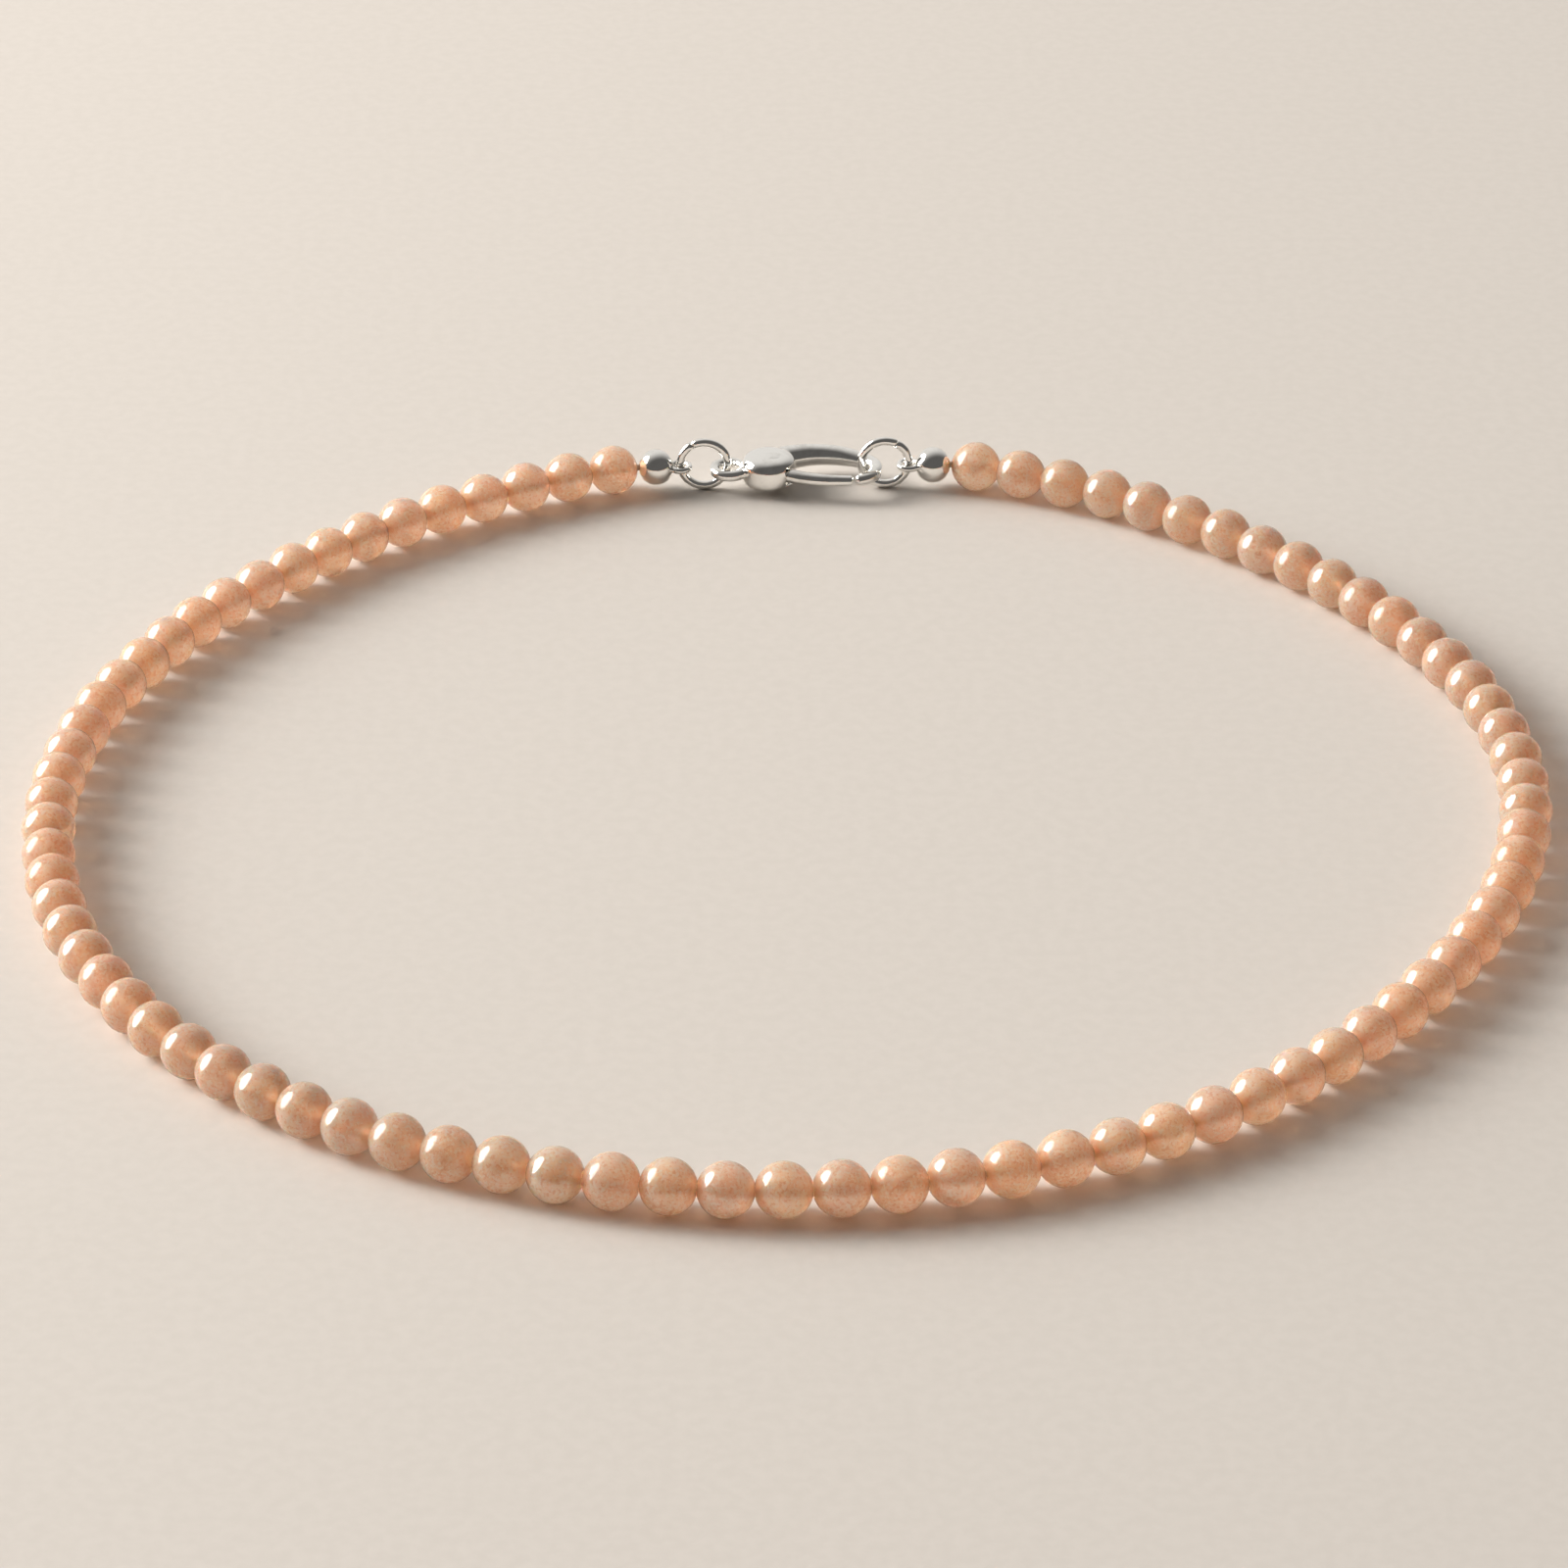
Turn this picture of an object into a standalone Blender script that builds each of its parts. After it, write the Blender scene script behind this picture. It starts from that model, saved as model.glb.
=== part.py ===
"""Beaded choker: a closed string of polished stone beads, fastened by a silver lobster claw.

Metres, +Z up. It lies on z = 0 as a whole loop, the clasp at the back (+Y), and the origin is the
centre of its box on that surface.
"""

from math import cos, pi, radians, sin, sqrt

import bmesh
import bpy
from mathutils import Vector

MM = 0.001
FIT_GAP = 0.15 * MM  # between metal pieces that bear on each other

# Beads: touching, a little shorter along the thread than they are wide
BEAD_COUNT = 82
BEAD_DIAMETER = 4.4 * MM
BEAD_PITCH = 4.22 * MM  # on average
BEAD_LENGTH_DRIFT = 0.058 * MM  # beads on the left are this much shorter, on the right longer
BEAD_SIDES = 12
BEAD_END_RADIUS = 0.55 * MM  # the flat round the drilled hole, where neighbours meet
BEAD_RINGS_DEG = (-54.0, -18.0, 18.0, 54.0)  # along the thread, as angles on the bead's outline
THREAD_RADIUS = 0.3 * MM
THREAD_STUB = 1.1 * MM

# The loop as it lies: its radius at a bearing is a mean plus a few waves of this size
LOOP_RADIUS = 59.38 * MM
LOOP_WAVES = (  # waves round the loop, cosine part, sine part
    (1, 0.06 * MM, 0.32 * MM),
    (2, -0.72 * MM, 0.96 * MM),
    (3, 0.11 * MM, -0.51 * MM),
    (4, 0.46 * MM, 0.05 * MM),
    (5, 0.18 * MM, 0.17 * MM),
)
LEFT_END_BEARING = radians(104.6)
PATH_STEPS = 4000

# End covers: a hollow silver ball over the knot, with a soldered loop
COVER_RADIUS = 1.6 * MM
COVER_GAP = 0.15 * MM
COVER_BORE_RADIUS = 0.6 * MM
COVER_SIDES = 16
LOOP_RING_RADIUS = 0.85 * MM
LOOP_WIRE_RADIUS = 0.28 * MM
LOOP_REACH = 2.15 * MM  # from the ball's centre to the loop's hole

# Jump rings stand upright on the surface
RING_RADIUS = 2.1 * MM
RING_WIRE_RADIUS = 0.38 * MM
RING_SIDES = 16
WIRE_SIDES = 6

# Claw, seen from above with its tail hole at 0, 0 and the hook towards +X
CLAW_HEIGHT = 1.9 * MM  # its middle plane; both ends rest on the rings' lower arcs
TAIL_RING_RADIUS = 1.35 * MM
TAIL_WIRE_RADIUS = 0.5 * MM
HUB_PLACE = (3.5 * MM, 0.0)
HUB_RADIUS = 2.5 * MM
HUB_THICKNESS = 3.0 * MM
HUB_ROUNDING = 0.7 * MM
SPINE = (  # x, y, wire radius
    (3.7 * MM, 1.1 * MM, 1.15 * MM),
    (5.2 * MM, 2.25 * MM, 1.1 * MM),
    (7.4 * MM, 2.85 * MM, 1.0 * MM),
    (9.7 * MM, 2.65 * MM, 0.9 * MM),
    (11.7 * MM, 1.75 * MM, 0.76 * MM),
    (12.8 * MM, 0.8 * MM, 0.66 * MM),
    (13.1 * MM, 0.0, 0.62 * MM),
    (12.9 * MM, -1.1 * MM, 0.6 * MM),
    (12.25 * MM, -2.0 * MM, 0.57 * MM),
    (11.15 * MM, -2.5 * MM, 0.5 * MM),
)
APEX_X = 13.1 * MM
APEX_RADIUS = 0.62 * MM
PIVOT_PLACE = (3.9 * MM, -0.35 * MM)
PIN_RADIUS = 0.4 * MM
PIN_LENGTH = 2.9 * MM
PIN_GAP = 0.1 * MM
SLOT_HEIGHT = 1.7 * MM
SLOT_SECTORS = (  # from, to in degrees round the pivot, radius
    (-54.0, 24.0, 3.2 * MM),
    (24.0, 80.0, 1.5 * MM),
    (80.0, 144.0, 4.5 * MM),
    (144.0, 306.0, 1.5 * MM),
)
SECTOR_STEP_DEG = 12.0

# Lever, seen from above with its pivot at 0, 0
LEVER_HUB_RADIUS = 1.15 * MM
LEVER_THICKNESS = 1.4 * MM
GATE = (  # x, y, wire radius
    (0.4 * MM, -0.25 * MM, 0.68 * MM),
    (2.1 * MM, -1.35 * MM, 0.62 * MM),
    (4.4 * MM, -2.0 * MM, 0.55 * MM),
    (6.75 * MM, -2.15 * MM, 0.48 * MM),
)
THUMB_TAB = (
    (-0.1 * MM, 0.5 * MM, 0.42 * MM),
    (-0.5 * MM, 2.8 * MM, 0.42 * MM),
    (-0.6 * MM, 3.7 * MM, 0.5 * MM),
)

STONE = ("peach_stone", (0.62, 0.33, 0.19, 1.0), 0.18, 0.0)
SILVER = ("polished_silver", (0.86, 0.86, 0.85, 1.0), 0.2, 1.0)


def clear_scene():
    for obj in list(bpy.data.objects):
        bpy.data.objects.remove(obj, do_unlink=True)


def new_collection(name):
    collection = bpy.data.collections.new(name)
    bpy.context.scene.collection.children.link(collection)
    return collection


def finish(obj, look):
    """Give a part its own material: name, colour, roughness and metallic value."""
    name, colour, roughness, metallic = look
    material = bpy.data.materials.new(f"{obj.name}_{name}")
    material.use_nodes = True
    surface = material.node_tree.nodes["Principled BSDF"]
    surface.inputs["Base Color"].default_value = colour
    surface.inputs["Roughness"].default_value = roughness
    surface.inputs["Metallic"].default_value = metallic
    material.diffuse_color = colour
    obj.data.materials.clear()
    obj.data.materials.append(material)


def place(obj, parent, location=(0.0, 0.0, 0.0), rotation=(0.0, 0.0, 0.0)):
    obj.parent = parent
    obj.location = location
    obj.rotation_euler = rotation
    return obj


def as_helper(obj):
    """Put a shape that is only joined to or cut from a part with the other helpers."""
    for collection in list(obj.users_collection):
        collection.objects.unlink(obj)
    helpers.objects.link(obj)
    obj.hide_render = True
    obj.display_type = "WIRE"
    return obj


def empty(name):
    obj = bpy.data.objects.new(name, None)
    parts.objects.link(obj)
    return obj


def mesh_object(name, shape):
    """Object of a bmesh, with smooth faces."""
    mesh = bpy.data.meshes.new(name)
    shape.to_mesh(mesh)
    shape.free()
    mesh.shade_smooth()
    obj = bpy.data.objects.new(name, mesh)
    parts.objects.link(obj)
    return obj


def cylinder(name, radius, height, sides):
    shape = bmesh.new()
    bmesh.ops.create_cone(
        shape, cap_ends=True, segments=sides, radius1=radius, radius2=radius, depth=height
    )
    return mesh_object(name, shape)


def wire_ring(name, radius, wire_radius, sides):
    """Closed ring round Z."""
    bpy.ops.mesh.primitive_torus_add(
        major_radius=radius,
        minor_radius=wire_radius,
        major_segments=sides,
        minor_segments=WIRE_SIDES,
    )
    obj = bpy.context.active_object
    for collection in list(obj.users_collection):
        collection.objects.unlink(obj)
    parts.objects.link(obj)
    obj.name = name
    obj.data.name = name
    obj.data.shade_smooth()
    return obj


def curve_object(name, points, sides, tilt=0.0):
    """Round tube along points (position, radius), as a curve with filled caps."""
    curve = bpy.data.curves.new(name, "CURVE")
    curve.dimensions = "3D"
    curve.twist_mode = "Z_UP"
    curve.bevel_depth = MM
    curve.bevel_resolution = sides // 2 - 2
    curve.use_fill_caps = True
    spline = curve.splines.new("POLY")
    spline.points.add(len(points) - 1)
    for point, (position, radius) in zip(spline.points, points):
        point.co = (*position, 1.0)
        point.radius = radius / MM
        point.tilt = tilt
    obj = bpy.data.objects.new(name, curve)
    parts.objects.link(obj)
    return obj


def smooth_rows(rows, between):
    """Catmull-Rom points through rows (x, y, radius), with this many steps between two rows."""
    knots = [Vector(row) for row in rows]
    knots = [2 * knots[0] - knots[1], *knots, 2 * knots[-1] - knots[-2]]
    points = []
    for i in range(1, len(knots) - 2):
        before, start, end, after = knots[i - 1 : i + 3]
        for step in range(between):
            t = step / between
            points.append(
                0.5
                * (
                    2 * start
                    + t * (end - before)
                    + t**2 * (2 * before - 5 * start + 4 * end - after)
                    + t**3 * (3 * start - before - 3 * end + after)
                )
            )
    points.append(knots[-2])
    return [(Vector((x, y, 0.0)), radius) for x, y, radius in points]


def tapered_wire(name, rows, sides, between):
    """Mesh of a wire bent flat along rows (x, y, radius), its caps welded on."""
    curved = curve_object(name, smooth_rows(rows, between), sides)
    mesh = bpy.data.meshes.new_from_object(curved)
    curve = curved.data
    bpy.data.objects.remove(curved)
    bpy.data.curves.remove(curve)
    shape = bmesh.new()
    shape.from_mesh(mesh)
    bpy.data.meshes.remove(mesh)
    bmesh.ops.remove_doubles(shape, verts=shape.verts, dist=0.001 * MM)
    return mesh_object(name, shape)


def combine(obj, helper, operation):
    modifier = obj.modifiers.new(helper.name, "BOOLEAN")
    modifier.operation = operation
    modifier.solver = "EXACT"
    modifier.object = as_helper(helper)


def loop_point(bearing, scale):
    radius = LOOP_RADIUS + sum(
        across * cos(waves * bearing) + along * sin(waves * bearing)
        for waves, across, along in LOOP_WAVES
    )
    return Vector((cos(bearing), sin(bearing), 0.0)) * radius * scale


def bead_length(number):
    """Length of a bead along the thread; a full wave from the first to the last."""
    return BEAD_PITCH - BEAD_LENGTH_DRIFT * sin(2 * pi * number / (BEAD_COUNT - 1))


def bead_centres(scale):
    """Centres of touching beads along the loop, from the left end round the front to the right."""
    centres = [loop_point(LEFT_END_BEARING, scale)]
    last = centres[0]
    walked = 0.0
    for step in range(1, PATH_STEPS):
        point = loop_point(LEFT_END_BEARING + 2 * pi * step / PATH_STEPS, scale)
        stride = (point - last).length
        reach = bead_length(len(centres) - 0.5)
        while walked + stride >= reach and len(centres) < BEAD_COUNT:
            last = last.lerp(point, (reach - walked) / stride)
            stride = (point - last).length
            centres.append(last)
            walked = 0.0
            reach = bead_length(len(centres) - 0.5)
        walked += stride
        last = point
    return centres


def bead_axes(centres):
    """Unit vector along the thread at each bead; the end beads turn towards the clasp."""
    across = (centres[-1] - centres[0]).normalized()
    first = ((centres[1] - centres[0]).normalized() - across).normalized()
    final = ((centres[-1] - centres[-2]).normalized() - across).normalized()
    inner = [
        (after - before).normalized() for before, after in zip(centres, centres[2:])
    ]
    return [first, *inner, final]


def string_ends(scale):
    """Outer end of the first and of the last bead."""
    centres = bead_centres(scale)
    axes = bead_axes(centres)
    return centres[0] - axes[0] * BEAD_PITCH / 2, centres[-1] + axes[-1] * BEAD_PITCH / 2


def loop_scale(gap):
    """Scale of the loop at which the beads leave this gap for the fastening."""
    small, large = 0.9, 1.1
    for _ in range(40):
        scale = (small + large) / 2
        left, right = string_ends(scale)
        if (right - left).length < gap:
            small = scale
        else:
            large = scale
    return scale


def ring_offset(wire_radius, height):
    """From a wire at this height to the middle of the jump ring that bears on it."""
    inside = RING_RADIUS - RING_WIRE_RADIUS - FIT_GAP - wire_radius
    return sqrt(inside**2 - (RING_HEIGHT - height) ** 2)


BEAD_HEIGHT = BEAD_DIAMETER / 2
RING_HEIGHT = RING_RADIUS + RING_WIRE_RADIUS
COVER_X = COVER_GAP + COVER_RADIUS
COVER_LOOP_X = COVER_X + LOOP_REACH
RING_X = COVER_LOOP_X + LOOP_RING_RADIUS + ring_offset(LOOP_WIRE_RADIUS, BEAD_HEIGHT)
TAIL_X = RING_X + ring_offset(TAIL_WIRE_RADIUS, CLAW_HEIGHT) + TAIL_RING_RADIUS
FAR_RING_X = TAIL_X + APEX_X + ring_offset(APEX_RADIUS, CLAW_HEIGHT)
FASTENING_LENGTH = FAR_RING_X + RING_X


def make_bead_string(root, scale):
    """All beads as one tube whose radius swells at each bead. Its flats are as wide as a bead."""
    flat_share = cos(pi / BEAD_SIDES)
    ring_share = cos(radians(BEAD_RINGS_DEG[2]))
    rows = [
        (sin(radians(ring)) / ring_share, cos(radians(ring)) / ring_share)
        for ring in BEAD_RINGS_DEG
    ]
    centres = bead_centres(scale)
    axes = bead_axes(centres)
    left, right = string_ends(scale)
    across = (right - left).normalized()
    points = [
        (left + across * THREAD_STUB, THREAD_RADIUS),
        (left + across * COVER_GAP, THREAD_RADIUS),
        (left, BEAD_END_RADIUS),
    ]
    for number, (centre, axis) in enumerate(zip(centres, axes)):
        half = bead_length(number) / 2
        for along, out in rows:
            points.append((centre + axis * along * half, out * BEAD_DIAMETER / 2))
        points.append((centre + axis * half, BEAD_END_RADIUS))
    points.append((right - across * COVER_GAP, THREAD_RADIUS))
    points.append((right - across * THREAD_STUB, THREAD_RADIUS))
    lifted = [
        (place_ + Vector((0.0, 0.0, BEAD_HEIGHT)), radius / flat_share)
        for place_, radius in points
    ]
    string = curve_object("bead_string", lifted, BEAD_SIDES, tilt=pi / BEAD_SIDES)
    finish(string, STONE)
    return place(string, root)


def make_end_cover(name, fastening, x, turn):
    """Ball turned about the thread, bored from the bead's side, with an upright-hole loop."""
    mouth = sqrt(COVER_RADIUS**2 - COVER_BORE_RADIUS**2)
    outline = [
        (COVER_RADIUS * sin(radians(angle)), COVER_RADIUS * cos(radians(angle)))
        for angle in (0, 22, 44, 66, 90, 114, 136)
    ]
    outline += [(COVER_BORE_RADIUS, -mouth), (COVER_BORE_RADIUS, 0.0), (0.0, 0.0)]
    shape = bmesh.new()
    corners = [shape.verts.new((radius, 0.0, height)) for radius, height in outline]
    for start, end in zip(corners, corners[1:]):
        shape.edges.new((start, end))
    cover = mesh_object(name, shape)
    screw = cover.modifiers.new("turned", "SCREW")
    screw.steps = COVER_SIDES
    screw.render_steps = COVER_SIDES
    screw.use_merge_vertices = True
    screw.merge_threshold = 0.001 * MM
    loop = wire_ring(f"{name}_loop", LOOP_RING_RADIUS, LOOP_WIRE_RADIUS, RING_SIDES)
    place(loop, cover, (0.0, 0.0, LOOP_REACH), (0.0, pi / 2, 0.0))
    combine(cover, loop, "UNION")
    finish(cover, SILVER)
    return place(cover, fastening, (x, 0.0, BEAD_HEIGHT), (0.0, turn, 0.0))


def make_jump_ring(name, fastening, x):
    ring = wire_ring(name, RING_RADIUS, RING_WIRE_RADIUS, RING_SIDES)
    finish(ring, SILVER)
    return place(ring, fastening, (x, 0.0, RING_HEIGHT), (pi / 2, 0.0, 0.0))


def slot_outline():
    """Space for the lever inside the hub, as points round the pivot."""
    points = []
    for start, end, radius in SLOT_SECTORS:
        steps = round((end - start) / SECTOR_STEP_DEG)
        for step in range(steps + 1):
            angle = radians(start + (end - start) * step / steps)
            points.append((radius * cos(angle), radius * sin(angle)))
    return points


def slot_cutter():
    shape = bmesh.new()
    low = -SLOT_HEIGHT / 2
    outline = shape.faces.new([shape.verts.new((x, y, low)) for x, y in slot_outline()])
    raised = bmesh.ops.extrude_face_region(shape, geom=[outline])["geom"]
    verts = [item for item in raised if isinstance(item, bmesh.types.BMVert)]
    bmesh.ops.translate(shape, verts=verts, vec=(0.0, 0.0, SLOT_HEIGHT))
    bmesh.ops.recalc_face_normals(shape, faces=shape.faces)
    return mesh_object("claw_slot", shape)


def make_clasp_body(claw):
    """Hub with tail loop and tapering hook, slotted and drilled for the lever."""
    body = place(cylinder("clasp_body", HUB_RADIUS, HUB_THICKNESS, 24), claw)
    body.location = (*HUB_PLACE, 0.0)
    rounding = body.modifiers.new("rounded", "BEVEL")
    rounding.width = HUB_ROUNDING
    rounding.segments = 2
    rounding.limit_method = "ANGLE"
    rounding.angle_limit = radians(60)
    spine = tapered_wire("claw_spine", SPINE, 10, 3)
    combine(body, place(spine, claw), "UNION")
    tail = wire_ring("claw_tail", TAIL_RING_RADIUS, TAIL_WIRE_RADIUS, RING_SIDES)
    combine(body, place(tail, claw), "UNION")
    slot = place(slot_cutter(), claw, (*PIVOT_PLACE, 0.0))
    combine(body, slot, "DIFFERENCE")
    hole = cylinder("claw_pin_hole", PIN_RADIUS + PIN_GAP, 2 * HUB_THICKNESS, 16)
    combine(body, place(hole, claw, (*PIVOT_PLACE, 0.0)), "DIFFERENCE")
    finish(body, SILVER)
    return body


def make_clasp_lever(claw):
    """Gate and thumb tab on one hub; its origin is on the pin's axis."""
    lever = place(cylinder("clasp_lever", LEVER_HUB_RADIUS, LEVER_THICKNESS, 20), claw)
    lever.location = (*PIVOT_PLACE, 0.0)
    gate = tapered_wire("lever_gate", GATE, 10, 3)
    combine(lever, place(gate, lever), "UNION")
    tab = tapered_wire("lever_tab", THUMB_TAB, 8, 2)
    combine(lever, place(tab, lever), "UNION")
    hole = cylinder("lever_pin_hole", PIN_RADIUS + PIN_GAP, 2 * HUB_THICKNESS, 16)
    combine(lever, place(hole, lever), "DIFFERENCE")
    finish(lever, SILVER)
    return lever


def make_clasp_pin(claw):
    pin = cylinder("clasp_pin", PIN_RADIUS, PIN_LENGTH, 12)
    finish(pin, SILVER)
    return place(pin, claw, (*PIVOT_PLACE, 0.0))


def centre_on_origin(root, made):
    """Move the root so that the middle of the parts' box is over the origin."""
    bpy.context.view_layer.update()
    graph = bpy.context.evaluated_depsgraph_get()
    corners = []
    for obj in made:
        evaluated = obj.evaluated_get(graph)
        mesh = evaluated.to_mesh()
        corners += [evaluated.matrix_world @ vertex.co for vertex in mesh.vertices]
        evaluated.to_mesh_clear()
    for axis in (0, 1):
        values = [corner[axis] for corner in corners]
        root.location[axis] = -(min(values) + max(values)) / 2


clear_scene()
parts = new_collection("beaded_choker")
helpers = new_collection("helpers")
choker = empty("choker")
closed_scale = loop_scale(FASTENING_LENGTH)
left_end, right_end = string_ends(closed_scale)
chord = right_end - left_end
made_parts = [make_bead_string(choker, closed_scale)]
fastening_frame = place(
    empty("fastening"), choker, left_end, (0.0, 0.0, Vector((1.0, 0.0)).angle_signed(chord.xy) * -1)
)
made_parts.append(make_end_cover("end_cover_left", fastening_frame, COVER_X, pi / 2))
made_parts.append(
    make_end_cover("end_cover_right", fastening_frame, FASTENING_LENGTH - COVER_X, -pi / 2)
)
made_parts.append(make_jump_ring("jump_ring_left", fastening_frame, RING_X))
made_parts.append(make_jump_ring("jump_ring_right", fastening_frame, FAR_RING_X))
claw_frame = place(empty("claw"), fastening_frame, (TAIL_X, 0.0, CLAW_HEIGHT))
made_parts.append(make_clasp_body(claw_frame))
made_parts.append(make_clasp_lever(claw_frame))
made_parts.append(make_clasp_pin(claw_frame))
centre_on_origin(choker, made_parts)
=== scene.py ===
"""Looks of the beaded choker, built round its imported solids.

Metres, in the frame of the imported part: +Z up from the surface that the choker lies on, the clasp at
the back (+Y). Each new piece is a surface worked out with numpy: a formula over two parameters.
"""

import logging
from dataclasses import dataclass, field
from enum import Enum
from math import cos, pi, radians, sin, sqrt
from typing import Sequence

import bpy
import numpy as np
from numpy.typing import NDArray
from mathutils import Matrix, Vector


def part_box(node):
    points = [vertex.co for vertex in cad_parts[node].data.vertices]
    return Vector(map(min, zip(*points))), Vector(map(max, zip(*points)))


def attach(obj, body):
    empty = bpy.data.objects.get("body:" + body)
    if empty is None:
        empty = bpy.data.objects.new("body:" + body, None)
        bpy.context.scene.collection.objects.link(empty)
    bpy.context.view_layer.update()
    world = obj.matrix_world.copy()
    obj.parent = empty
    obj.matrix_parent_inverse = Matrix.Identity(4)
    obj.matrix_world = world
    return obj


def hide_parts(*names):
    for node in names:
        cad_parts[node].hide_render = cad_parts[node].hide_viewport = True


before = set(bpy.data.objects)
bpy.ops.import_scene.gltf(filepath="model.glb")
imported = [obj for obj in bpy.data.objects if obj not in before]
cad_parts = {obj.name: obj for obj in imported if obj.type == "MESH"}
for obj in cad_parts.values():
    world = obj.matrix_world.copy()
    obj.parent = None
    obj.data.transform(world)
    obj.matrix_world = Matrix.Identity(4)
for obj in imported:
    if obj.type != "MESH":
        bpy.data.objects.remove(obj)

MM = 0.001
UP = np.array((0.0, 0.0, 1.0))
LOG = logging.getLogger("choker")

Array = NDArray[np.float64]
Faces = NDArray[np.int64]
Colour = tuple[float, float, float]
Row = tuple[float, float, float]
Socket = bpy.types.NodeSocket


class Slot(Enum):
    """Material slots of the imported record."""

    STONE = "peach_stone"
    SILVER = "polished_silver"


class Body(Enum):
    """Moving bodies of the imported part."""

    NECKLACE = "necklace"
    LEVER = "lever"


class End(Enum):
    """The string's two ends; the value is the way from the bead to the clasp along the fastening."""

    LEFT = 1.0
    RIGHT = -1.0


@dataclass
class Surface:
    """Points with the faces between them.

    Attributes:
        points: Places, one row each.
        quads: Corners of the four-sided faces.
        tris: Corners of the three-sided faces, at poles and caps.
    """

    points: Array
    quads: Faces
    tris: Faces = field(default_factory=lambda: np.zeros((0, 3), np.int64))

    def over(self, points: Array) -> "Surface":
        """The same faces over other points."""
        return Surface(points, self.quads, self.tris)

    def outward(self) -> "Surface":
        """The same with its faces outwards: the sum of a.(b x c) over its triangles is 6 volumes.

        Returns:
            This surface, or one with every face turned round.
        """
        fan = np.vstack((self.quads[:, :3], self.quads[:, (0, 2, 3)], self.tris))
        a, b, c = (self.points[fan[:, corner]] for corner in range(3))
        if np.einsum("ij,ij->i", a, np.cross(b, c)).sum() >= 0:
            return self
        return Surface(self.points, self.quads[:, ::-1], self.tris[:, ::-1])


def unit(vectors: Array) -> Array:
    """Vectors of length 1 in the same directions."""
    return vectors / np.linalg.norm(vectors, axis=-1, keepdims=True)


def round_angles(count: int) -> Array:
    """Angles evenly round a full turn, from 0."""
    return 2 * pi * np.arange(count) / count


def circle(radius: float, count: int) -> Array:
    """Points (R cos a, R sin a, 0) round a flat circle."""
    angle = round_angles(count)
    return np.stack((np.cos(angle), np.sin(angle), 0 * angle), -1) * radius


def walked_to(path: Array) -> Array:
    """Way from the first point of a path to each of its points: the sum of the steps before it."""
    return np.concatenate(([0.0], np.cumsum(np.linalg.norm(np.diff(path, axis=0), axis=1))))


def at_ways(ways: Array, walked: Array, path: Array) -> Array:
    """Places on a path at given ways along it, on straight lines between its points."""
    return np.stack([np.interp(ways, walked, column) for column in path.T], -1)


def joined(surfaces: Sequence[Surface]) -> Surface:
    """Several surfaces as one, their shells kept apart.

    Args:
        surfaces: The surfaces, in order.

    Returns:
        One surface, its face corners shifted by the points that come before.
    """
    shifts = np.cumsum([0] + [len(s.points) for s in surfaces[:-1]])
    return Surface(
        np.vstack([s.points for s in surfaces]),
        np.vstack([s.quads + shift for s, shift in zip(surfaces, shifts)]),
        np.vstack([s.tris + shift for s, shift in zip(surfaces, shifts)]),
    )


def wrapped(grid: Array, ring: bool = False, middles: Array | None = None) -> Surface:
    """Closed surface over a grid of points whose columns run round.

    Args:
        grid: Points as (rows, columns, 3).
        ring: Whether the last row joins the first. Otherwise each end gets a fan to its middle.
        middles: The two ends' middles, if they aren't the means of the end rows.

    Returns:
        The surface, faces outwards.
    """
    rows, columns = grid.shape[:2]
    index = np.arange(rows * columns).reshape(rows, columns)
    below = index if ring else index[:-1]
    above = np.roll(index, -1, axis=0) if ring else index[1:]
    quads = np.stack(
        (below, np.roll(below, -1, 1), np.roll(above, -1, 1), above), axis=-1
    ).reshape(-1, 4)
    points = grid.reshape(-1, 3)
    if ring:
        return Surface(points, quads).outward()
    if middles is None:
        middles = np.stack((grid[0].mean(0), grid[-1].mean(0)))
    first, last = index[0], index[-1]
    tris = np.vstack(
        (
            np.stack((np.roll(first, -1), first, np.full(columns, rows * columns)), -1),
            np.stack((last, np.roll(last, -1), np.full(columns, rows * columns + 1)), -1),
        )
    )
    return Surface(np.vstack((points, middles)), quads, tris).outward()


def eased(rows: Sequence[Sequence[float]], between: int) -> Array:
    """Catmull-Rom points through rows, the cubic whose slope at a row is half the step past it.

    Args:
        rows: The rows to pass through, each of any number of values.
        between: Steps between two rows.

    Returns:
        The points, one row each.
    """
    knots = np.array(rows, float)
    knots = np.vstack((2 * knots[0] - knots[1], knots, 2 * knots[-1] - knots[-2]))
    before, start, end, after = knots[:-3], knots[1:-2], knots[2:-1], knots[3:]
    t = (np.arange(between) / between)[None, :, None]
    b, s, e, a = (k[:, None, :] for k in (before, start, end, after))
    spread = 0.5 * (
        2 * s + t * (e - b) + t**2 * (2 * b - 5 * s + 4 * e - a) + t**3 * (3 * s - b - 3 * e + a)
    )
    return np.vstack((spread.reshape(-1, knots.shape[1]), knots[-2]))


def turned(profile: Sequence[Sequence[float]], sides: int) -> Surface:
    """Profile turned about the X axis: (x, r cos a, r sin a) for each profile point (x, r).

    Args:
        profile: Points (x, r) from one end to the other, the ends on or near the axis.
        sides: Points round the axis.

    Returns:
        The closed surface.
    """
    x, r = np.array(profile, float).T
    angle = round_angles(sides)
    grid = np.stack(
        (
            np.broadcast_to(x[:, None], (len(x), sides)),
            r[:, None] * np.cos(angle),
            r[:, None] * np.sin(angle),
        ),
        axis=-1,
    )
    return wrapped(grid)


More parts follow.
